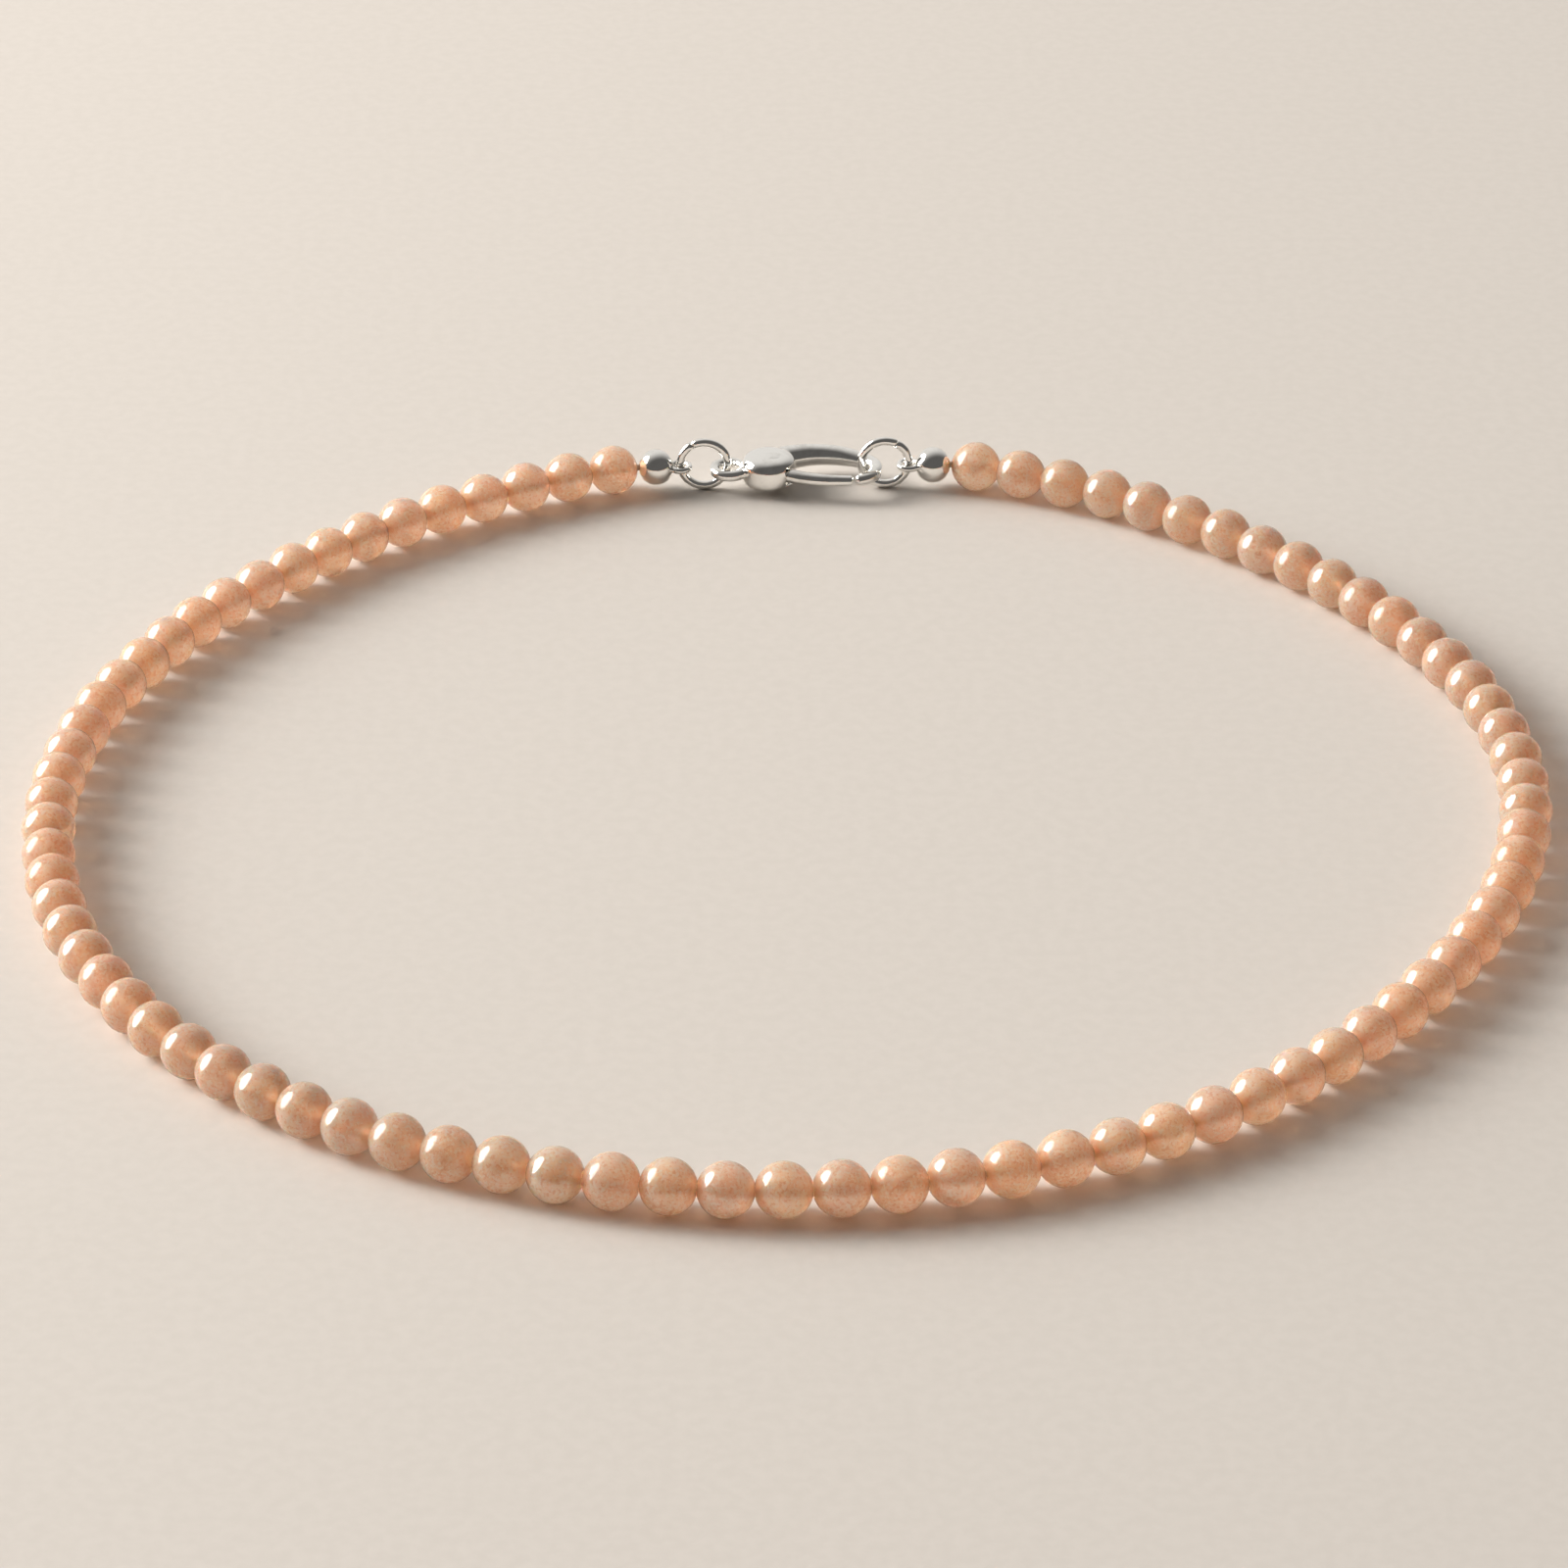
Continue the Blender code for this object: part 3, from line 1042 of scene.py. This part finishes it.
@dataclass
class BeadString:
    """The drilled beads, and the thread through them.

    Attributes:
        reach: Half length that a bead would have without its drilled ends.
        mouth: Rounding of the bore's mouth, as shares of the half length and of the bore.
        ply_swell: How far the plies stand out, as a share of the thread's radius.
        smallest: Smallest bead, as a share of the full size.
        sway: Usual shift of a bead to one side; sway_limit is the most.
        lean: Usual lean of a bead's bore; lean_limit is the most.
        out_of_round: Waves round a bead and their heights, as shares of its radius.
        rim: Share of the half width, from the bore outwards, over which a bead's own shape sets in.
        tint_power: Both powers of the beta curve that the tints are drawn from.
    """

    loop: Loop
    fit: Fit
    half_width: float = 2.2 * MM
    half_length: float = 2.105 * MM
    reach: float = 2.17 * MM
    bore: float = 0.4 * MM
    mouth: tuple[tuple[float, float], ...] = ((1.0, 1.22), (0.985, 1.06), (0.94, 1.0))
    sides: int = 34
    rows: int = 25
    thread_radius: float = 0.27 * MM
    thread_sides: int = 12
    plies: int = 3
    ply_swell: float = 0.1
    lay_of_plies: float = 1.6 * MM
    thread_step: float = 0.45 * MM
    thread_light: Colour = (0.80, 0.74, 0.66)
    thread_shade: Colour = (0.55, 0.47, 0.40)
    stub: float = 1.0 * MM
    smallest: float = 0.982
    sway: float = 0.045 * MM
    sway_limit: float = 0.09 * MM
    lean: float = radians(1.3)
    lean_limit: float = 0.04
    out_of_round: tuple[tuple[int, float], ...] = ((2, 0.004), (3, 0.003))
    rim: float = 0.4
    tint_power: float = 1.6
    seed: int = 11

    def profile(self) -> Array:
        """A bead's outline (along, out), closed through its bore: an ellipse and two rounded mouths.

        Returns:
            The points, one row each.
        """
        edge = np.arcsin(self.half_length / self.reach)
        lat = np.linspace(-edge, edge, self.rows)
        outer = np.stack((self.reach * np.sin(lat), self.half_width * np.cos(lat)), -1)
        mouth = np.array(self.mouth) * (self.half_length, self.bore)
        return np.vstack((outer, mouth, ((0.0, self.bore),), mouth[::-1] * (-1.0, 1.0)))

    def beads(self) -> tuple[Surface, dict[str, Array]]:
        """All beads, each as centre + axis a + (side cos f + up sin f) r (1 + small waves).

        Returns:
            The beads' surface, and the values of their attributes at each point.
        """
        chance = np.random.default_rng(self.seed)
        count = self.loop.beads
        size = chance.uniform(self.smallest, 1.0, count)
        sway = chance.normal(0.0, self.sway, count).clip(-self.sway_limit, self.sway_limit)
        tint = chance.beta(self.tint_power, self.tint_power, count)
        gloss = chance.uniform(0.0, 1.0, count)
        lean = chance.normal(0.0, self.lean, (count, 2)).clip(-self.lean_limit, self.lean_limit)
        phase = chance.uniform(0.0, 2 * pi, (count, 2))
        flat_side = unit(np.cross(UP, self.loop.axes))
        axis = unit(self.loop.axes + flat_side * lean[:, :1] + UP * lean[:, 1:])
        side = unit(np.cross(UP, axis))
        top = np.cross(axis, side)
        along, out = self.profile().T
        stretch = self.loop.lengths(np.arange(count)) / self.loop.pitch
        angle = round_angles(self.sides)
        waves = [
            height * (np.cos(number * angle + phase[:, column : column + 1]) - 1)
            for column, (number, height) in enumerate(self.out_of_round)
        ]
        grown = size[:, None] * (1 + sum(waves))
        rim = np.clip((out - self.bore) / (self.rim * self.half_width), 0.0, 1.0)
        radius = out[None, :, None] * (1 + (grown[:, None, :] - 1) * rim[None, :, None])
        centre = self.loop.centres + flat_side * sway[:, None] + UP * (size * self.half_width)[:, None]
        spoke = (
            side[:, None, None, :] * np.cos(angle)[None, None, :, None]
            + top[:, None, None, :] * np.sin(angle)[None, None, :, None]
        )
        grid = (
            centre[:, None, None, :]
            + axis[:, None, None, :] * (stretch[:, None] * along)[:, :, None, None]
            + spoke * radius[..., None]
        )
        one = wrapped(grid[0], ring=True)
        step = grid[0].shape[0] * self.sides
        quads = (one.quads[None] + step * np.arange(count)[:, None, None]).reshape(-1, 4)
        # Share of the way from a bead's middle to its drilled ends; the stone's material uses it to place
        # the painted shade at the bead ends.
        drill = np.abs(along) / self.half_length
        shape = grid.shape[:3]
        values = {
            "tint": np.broadcast_to(tint[:, None, None], shape).ravel(),
            "gloss": np.broadcast_to(gloss[:, None, None], shape).ravel(),
            "drill": np.broadcast_to(drill[None, :, None], shape).ravel(),
        }
        return Surface(grid.reshape(-1, 3), quads), values

    def thread(self) -> Surface:
        """Thread of three plies: a tube whose radius is r (1 + s cos 3(f - turn)), turning as it goes.

        Returns:
            The closed surface.
        """
        across = unit(self.loop.right - self.loop.left)
        knots = np.vstack(
            (
                self.loop.left + across * self.stub,
                self.loop.left,
                self.loop.centres,
                self.loop.right,
                self.loop.right - across * self.stub,
            )
        )
        walked = walked_to(knots)
        at = np.arange(0.0, walked[-1], self.thread_step)
        path = at_ways(at, walked, knots)
        ahead = unit(np.gradient(path, axis=0))
        side = np.cross(UP, ahead)
        angle = round_angles(self.thread_sides)
        turn = 2 * pi * at / (self.plies * self.lay_of_plies)
        swell = self.ply_swell * np.cos(self.plies * (angle - turn[:, None]))
        radius = self.thread_radius * (1 + swell)
        spoke = side[:, None, :] * np.cos(angle)[:, None] + UP * np.sin(angle)[:, None]
        return wrapped(path[:, None, :] + UP * self.fit.bead_height + spoke * radius[..., None])

    def dress(self, effects: Effects) -> list[bpy.types.Object]:
        """Show the beads and the thread.

        Args:
            effects: The shared node groups.

        Returns:
            The two pieces.
        """
        surface, values = self.beads()
        stone = StoneFinish().material(effects)
        beads = Piece("stone_beads", surface, Body.NECKLACE, Slot.STONE, "bead_string", stone).shown()
        for name, value in values.items():
            kept = beads.data.attributes.new(name, "FLOAT", "POINT")
            kept.data.foreach_set("value", value.astype(np.float32))
        fibre = FibreFinish(
            "thread_fibre", self.thread_light, self.thread_shade, scale=9000.0, depth=0.03 * MM
        )
        finish = fibre.material(effects)
        thread = Piece("bead_thread", self.thread(), Body.NECKLACE, Slot.STONE, "bead_string", finish)
        return [beads, thread.shown()]


@dataclass
class EndCover:
    """Hollow silver ball over the thread's knot, with its soldered loop lying flat."""

    end: End
    fit: Fit
    wall: float = 0.25 * MM
    mouth: float = 0.6 * MM
    solder_sunk: float = 0.12 * MM
    solder_length: float = 0.30 * MM
    solder_mean: float = 0.24 * MM
    solder_fall: float = 0.17 * MM
    sides: int = 56

    def ball(self) -> Surface:
        """Thin ball turned about the thread: an outer circle, a rolled lip and an inner circle.

        Returns:
            The closed surface, its middle at the origin.
        """
        radius = self.fit.cover_radius
        outer = np.arcsin(self.mouth / radius)
        around = np.linspace(0.0, pi - outer, 30)
        out = np.stack((radius * np.cos(around), radius * np.sin(around)), -1)
        middle = radius - self.wall / 2
        lip = np.linspace(0.0, pi, 7)[1:-1]
        ahead = np.array((-cos(outer), sin(outer)))
        inwards = np.array((-sin(outer), -cos(outer)))
        rolled = (
            ahead * (middle + self.wall / 2 * np.cos(lip))[:, None]
            + inwards * (self.wall / 2 * np.sin(lip))[:, None]
        )
        inner = radius - self.wall
        back = np.stack((inner * np.cos(around[::-1]), inner * np.sin(around[::-1])), -1)
        return turned(np.vstack((out, rolled, back)), self.sides)

    def loop(self) -> Surface:
        """Round wire bent to a ring that lies flat, its near side sunk into the ball."""
        path = circle(self.fit.loop_radius, 48) + (self.fit.loop_reach, 0.0, 0.0)
        return tube(path, np.full(len(path), self.fit.loop_wire), 16, ring=True)

    def solder(self) -> Surface:
        """Solder in the corner between ball and loop: r falls as a cosine from the foot to the tip.

        Returns:
            The closed surface.
        """
        t = np.linspace(0.0, 1.0, 12)
        x = self.fit.cover_radius - self.solder_sunk + self.solder_length * t
        r = self.solder_mean + self.solder_fall * np.cos(pi * t)
        return turned(np.stack((x, r), -1), 24)

    def dress(self, fastening: Fastening, silver: bpy.types.Material) -> bpy.types.Object:
        """Show the cover.

        Args:
            fastening: Frame that it lies in.
            silver: Its finish.

        Returns:
            The piece.
        """
        surface = joined((self.ball(), self.loop(), self.solder()))
        x = self.fit.cover_x if self.end is End.LEFT else self.fit.length - self.fit.cover_x
        placed = fastening.placed(surface, x, self.fit.bead_height, self.end.value)
        side = self.end.name.lower()
        name = f"end_cover_{side}"
        return Piece(f"ball_cover_{side}", placed, Body.NECKLACE, Slot.SILVER, name, silver).shown()


@dataclass
class JumpRing:
    """Round silver wire bent to a standing ring, its two cut ends almost meeting."""

    end: End
    fit: Fit
    slit: float = radians(118.0)
    slit_gap: float = 0.05 * MM
    blunted: tuple[float, float] = (0.86, 0.97)
    blunt_length: float = 0.02 * MM
    steps: int = 72
    sides: int = 20

    def wire(self) -> Surface:
        """Wire along (R cos a, 0, R sin a), from one side of the slit round to the other.

        Returns:
            The closed surface.
        """
        half = self.slit_gap / 2 / self.fit.ring_radius
        angle = np.linspace(self.slit + half, self.slit + 2 * pi - half, self.steps)
        path = np.stack((np.cos(angle), 0 * angle, np.sin(angle)), -1) * self.fit.ring_radius
        radius = np.full(self.steps, self.fit.ring_wire)
        radius[:2] *= self.blunted
        radius[-2:] *= self.blunted[::-1]
        path[1] = path[0] + unit(path[1] - path[0]) * self.blunt_length
        path[-2] = path[-1] + unit(path[-2] - path[-1]) * self.blunt_length
        return tube(path, radius, self.sides, up=np.array((0.0, 1.0, 0.0)))

    def dress(self, fastening: Fastening, silver: bpy.types.Material) -> bpy.types.Object:
        """Show the ring.

        Args:
            fastening: Frame that it stands in.
            silver: Its finish.

        Returns:
            The piece.
        """
        x = self.fit.ring_x if self.end is End.LEFT else self.fit.far_ring_x
        placed = fastening.placed(self.wire(), x, self.fit.ring_height, self.end.value)
        side = self.end.name.lower()
        name = f"jump_ring_{side}"
        return Piece(f"wire_ring_{side}", placed, Body.NECKLACE, Slot.SILVER, name, silver).shown()


@dataclass
class Claw:
    """Lobster claw: cast body with tail ring and hook, lever and rivet, seen with its tail at 0, 0.

    Attributes:
        spine: Rows (x, y, radius) from the hub round the hook to its tip.
        slot_sectors: Rows (first degree, last degree, radius) of the lever's space round the pivot.
        gate, tab: Rows (x, y, radius) of the lever's two arms, from its pivot.
        head_edge: From the middle plane to the rim of the rivet's dome; head_under is its underside.
        pad_powers: Powers that round a pad's side and its face.
    """

    fit: Fit
    hub_place: tuple[float, float] = (3.5 * MM, 0.0)
    hub_radius: float = 2.5 * MM
    hub_half: float = 1.5 * MM
    spine: tuple[Row, ...] = (
        (2.9 * MM, 0.7 * MM, 1.3 * MM),
        (3.9 * MM, 1.3 * MM, 1.28 * MM),
        (5.2 * MM, 2.2 * MM, 1.14 * MM),
        (7.4 * MM, 2.82 * MM, 1.0 * MM),
        (9.7 * MM, 2.63 * MM, 0.9 * MM),
        (11.7 * MM, 1.75 * MM, 0.76 * MM),
        (12.8 * MM, 0.8 * MM, 0.66 * MM),
        (13.1 * MM, 0.0, 0.62 * MM),
        (12.9 * MM, -1.1 * MM, 0.6 * MM),
        (12.25 * MM, -2.0 * MM, 0.57 * MM),
        (11.15 * MM, -2.5 * MM, 0.5 * MM),
    )
    pivot: tuple[float, float] = (3.9 * MM, -0.35 * MM)
    hole: float = 0.5 * MM
    drill_half: float = 3.0 * MM
    pin_radius: float = 0.4 * MM
    head_radius: float = 0.66 * MM
    head_edge: float = 1.46 * MM
    head_rise: float = 0.13 * MM
    head_under: float = 1.40 * MM
    head_taper: float = 0.97
    shank_half: float = 1.38 * MM
    pad_powers: tuple[float, float] = (0.45, 0.75)
    slot_half: float = 0.85 * MM
    slot_sectors: tuple[Row, ...] = (
        (-54.0, 24.0, 3.2 * MM),
        (24.0, 80.0, 1.5 * MM),
        (80.0, 144.0, 4.5 * MM),
        (144.0, 306.0, 1.5 * MM),
    )
    lever_hub: float = 1.15 * MM
    lever_half: float = 0.7 * MM
    gate: tuple[Row, ...] = (
        (0.4 * MM, -0.25 * MM, 0.68 * MM),
        (2.1 * MM, -1.35 * MM, 0.62 * MM),
        (4.4 * MM, -2.0 * MM, 0.55 * MM),
        (7.1 * MM, -2.16 * MM, 0.47 * MM),
    )
    tab: tuple[Row, ...] = (
        (-0.1 * MM, 0.5 * MM, 0.42 * MM),
        (-0.5 * MM, 2.8 * MM, 0.42 * MM),
        (-0.6 * MM, 3.75 * MM, 0.5 * MM),
    )

    def pillow(self, place: tuple[float, float], radius: float, half: float) -> Surface:
        """Round pad with domed faces: radius r cos(t)^p at height h sin(t)^q.

        Args:
            place: Its middle in the claw's plane.
            radius: Radius at the middle plane.
            half: Half its thickness.

        Returns:
            The closed surface.
        """
        wide, tall = self.pad_powers
        t = np.radians(np.linspace(-89.5, 89.5, 41))
        r = radius * np.cos(t) ** wide
        z = half * np.sign(t) * np.abs(np.sin(t)) ** tall
        flat = turned(np.stack((z, r), -1), 72)
        return flat.over(flat.points[:, (1, 2, 0)] + (*place, 0.0)).outward()

    def slot_space(self) -> Surface:
        """Space for the lever: a prism over arcs of several radii round the pivot.

        Returns:
            The closed surface.
        """
        arcs = [
            np.stack((np.radians(np.linspace(start, end, 12)), np.full(12, radius)), -1)
            for start, end, radius in self.slot_sectors
        ]
        angle, radius = np.vstack(arcs).T
        outline = np.stack((radius * np.cos(angle), radius * np.sin(angle)), -1) + self.pivot
        return prism(outline, self.pivot, self.slot_half)

    def drilled(self, place: tuple[float, float]) -> Surface:
        """Hole for the pin, as a long prism."""
        return prism(circle(self.hole, 24)[:, :2] + place, place, self.drill_half)

    def body(self) -> Surface:
        """Hub, spine and tail ring cast as one, slotted for the lever.

        Returns:
            The closed surface.
        """
        path = circle(self.fit.tail_radius, 56)
        tail = tube(path, np.full(len(path), self.fit.tail_wire), 20, ring=True)
        shells = (
            self.pillow(self.hub_place, self.hub_radius, self.hub_half),
            rounded_rod(self.spine, between=6, sides=28, blunt=(0.3 * MM, 0.3 * MM)),
            tail,
        )
        cutters = (self.slot_space(), self.drilled(self.pivot))
        return fused("claw_body", shells, cutters, grain=0.07 * MM, eases=9)

    def lever(self) -> Surface:
        """Hub, gate and thumb tab cast as one, drilled for the pin; its pivot is at 0, 0.

        Returns:
            The closed surface.
        """
        shells = (
            self.pillow((0.0, 0.0), self.lever_hub, self.lever_half),
            rounded_rod(self.gate, between=8, sides=24, blunt=(0.2 * MM, 0.28 * MM)),
            rounded_rod(self.tab, between=8, sides=20, blunt=(0.1 * MM, 0.34 * MM)),
        )
        cutters = (self.drilled((0.0, 0.0)),)
        return fused("claw_lever", shells, cutters, grain=0.055 * MM, eases=7)

    def rivet(self) -> Surface:
        """Pin with two domed heads: a head's height falls as the cosine of its radius.

        Returns:
            The closed surface, its axis upright at 0, 0.
        """
        r = np.linspace(0.02, 1.0, 9)
        dome = np.stack((self.head_edge + self.head_rise * np.cos(r * pi / 2), r * self.head_radius), -1)
        skirt = (self.head_under, self.head_taper * self.head_radius), (self.shank_half, self.pin_radius)
        upper = np.vstack((dome, skirt))
        flat = turned(np.vstack((upper, upper[::-1] * (-1.0, 1.0))), 36)
        return flat.over(flat.points[:, (1, 2, 0)]).outward()

    def dress(self, fastening: Fastening, effects: Effects) -> list[bpy.types.Object]:
        """Show body, lever and rivet.

        Args:
            fastening: Frame that the claw lies in.
            effects: The shared node groups.

        Returns:
            The three pieces.
        """
        cast = SilverFinish("silver_cast", wear=0.55).material(effects)
        rubbed = SilverFinish("silver_rubbed", wear=0.8).material(effects)
        pivot = np.array((*self.pivot, 0.0))
        made = (
            ("claw_body", self.body(), Body.NECKLACE, "clasp_body", cast, 0 * pivot),
            ("claw_lever", self.lever(), Body.LEVER, "clasp_lever", rubbed, pivot),
            ("claw_rivet", self.rivet(), Body.NECKLACE, "clasp_pin", rubbed, pivot),
        )
        x, height = self.fit.tail_x, self.fit.claw_height
        pieces = []
        for name, surface, body, node, finish, offset in made:
            placed = fastening.placed(surface.over(surface.points + offset), x, height)
            pieces.append(Piece(name, placed, body, Slot.SILVER, node, finish).shown())
        return pieces


@dataclass(frozen=True)
class Lamp:
    """Oval lamp: how far off it hangs, its width and height in metres, and its power in watts."""

    name: str
    far: float
    size: tuple[float, float]
    power: float


@dataclass
class Studio:
    """Pale floor, soft light from the back left, and the camera.

    Attributes:
        key_way: Direction from the choker to the lamps.
        key_lean: How far the lamps' long axis leans to the left, in degrees.
        fill_way: Direction of the sky's brightest part.
        fill_reach: Cosines of the angle from there at which the sky is darkest and brightest.
        camera_down: How far the camera looks down, in degrees.
    """

    floor_half: float = 2.5
    floor_light: Colour = (0.62, 0.577, 0.531)
    floor_shade: Colour = (0.60, 0.558, 0.512)
    key_way: tuple[float, float, float] = (-0.867, 0.265, 0.423)
    key_lean: float = 28.0
    lamps: tuple[Lamp, ...] = (
        Lamp("key_window", 1.65, (1.28, 1.56), 44.0),
        Lamp("key_core", 1.5, (0.44, 0.54), 15.5),
    )
    key_colour: Colour = (1.0, 0.97, 0.935)
    fill_way: tuple[float, float, float] = (-0.35, 0.85, 0.25)
    fill_reach: tuple[float, float] = (-0.1, 1.0)
    fill: float = 0.775
    fill_far: Colour = (1.0, 0.97, 0.93)
    fill_near: Colour = (0.13, 0.125, 0.12)
    lens: float = 146.25
    camera_place: tuple[float, float, float] = (-0.000435, -0.45065, 0.2522)
    camera_down: float = 29.0

    def lay_floor(self, effects: Effects) -> None:
        """Flat floor, a grid of one face.

        Args:
            effects: The shared node groups.
        """
        half = self.floor_half
        corners = np.array(((-1, -1, 0), (1, -1, 0), (1, 1, 0), (-1, 1, 0))) * half
        floor = shown("studio_floor", mesh_of("studio_floor", Surface(corners, np.array(((0, 1, 2, 3),)))))
        finish = FibreFinish(
            "studio_floor", self.floor_light, self.floor_shade, scale=900.0, depth=0.05 * MM
        )
        floor.data.materials.append(finish.material(effects))

    def light(self) -> None:
        """Two oval lamps, one before the other, and a fill that grows towards the back."""
        way = unit(np.array(self.key_way))
        level = unit(np.cross(UP, way))
        lean = radians(self.key_lean)
        rise = np.cross(way, level) * cos(lean) - level * sin(lean)
        side = np.cross(rise, way)
        place = np.eye(4)
        for lamp in self.lamps:
            place[:3] = np.stack((side, rise, way, way * lamp.far), -1)
            data = bpy.data.lights.new(lamp.name, "AREA")
            data.shape = "ELLIPSE"
            data.size, data.size_y = lamp.size
            data.energy = lamp.power
            data.color = self.key_colour
            shown(lamp.name, data).matrix_world = place.T.tolist()
        world = bpy.data.worlds.new("studio_fill")
        world.use_nodes = True
        sheet = Sheet(world.node_tree)
        background = sheet.node("ShaderNodeBackground")
        output = sheet.node("ShaderNodeOutputWorld")
        sheet.join(background.outputs["Background"], output.inputs["Surface"])
        facing = sheet.node("ShaderNodeVectorMath", operation="DOT_PRODUCT")
        sheet.join(sheet.node("ShaderNodeTexCoord").outputs["Generated"], facing.inputs[0])
        facing.inputs[1].default_value = unit(np.array(self.fill_way))
        share = sheet.ramp(facing.outputs["Value"], *self.fill_reach)
        sheet.join(sheet.blend(share, self.fill_near, self.fill_far), background.inputs["Color"])
        background.inputs["Strength"].default_value = self.fill
        bpy.context.scene.world = world

    def aim(self) -> None:
        """Camera at the photograph's angle above the floor."""
        data = bpy.data.cameras.new("camera")
        data.sensor_width = 36.0
        data.lens = self.lens
        data.clip_start, data.clip_end = 0.01, 20.0
        camera = shown("camera", data)
        camera.location = self.camera_place
        camera.rotation_euler = (radians(90.0 - self.camera_down), 0.0, 0.0)
        scene = bpy.context.scene
        scene.camera = camera
        scene.view_settings.view_transform = "Standard"


def main() -> None:
    """Build the choker piece by piece, then the studio round it."""
    logging.basicConfig(level=logging.INFO, format="%(name)s: %(message)s")
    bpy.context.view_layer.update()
    effects = Effects.built()
    fit = Fit()
    loop = Loop(fit)
    claw = Claw(fit)
    along = unit(loop.right - loop.left)
    side = np.cross(UP, along)
    pin = loop.left + along * (fit.tail_x + claw.pivot[0]) + side * claw.pivot[1]
    low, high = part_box("clasp_pin")
    loop.shift((np.array(low) + np.array(high)) / 2 * (1.0, 1.0, 0.0) - pin)
    fastening = Fastening(fit, loop.left, along)
    pieces = BeadString(loop, fit).dress(effects)
    wire = SilverFinish("silver_wire", wear=0.45).material(effects)
    ball = SilverFinish("silver_ball", wear=0.4).material(effects)
    for end in End:
        pieces.append(EndCover(end, fit).dress(fastening, ball))
        pieces.append(JumpRing(end, fit).dress(fastening, wire))
    pieces += claw.dress(fastening, effects)
    studio = Studio()
    studio.lay_floor(effects)
    studio.light()
    studio.aim()
    LOG.info("%d pieces", len(pieces))


if __name__ == "__main__":
    main()
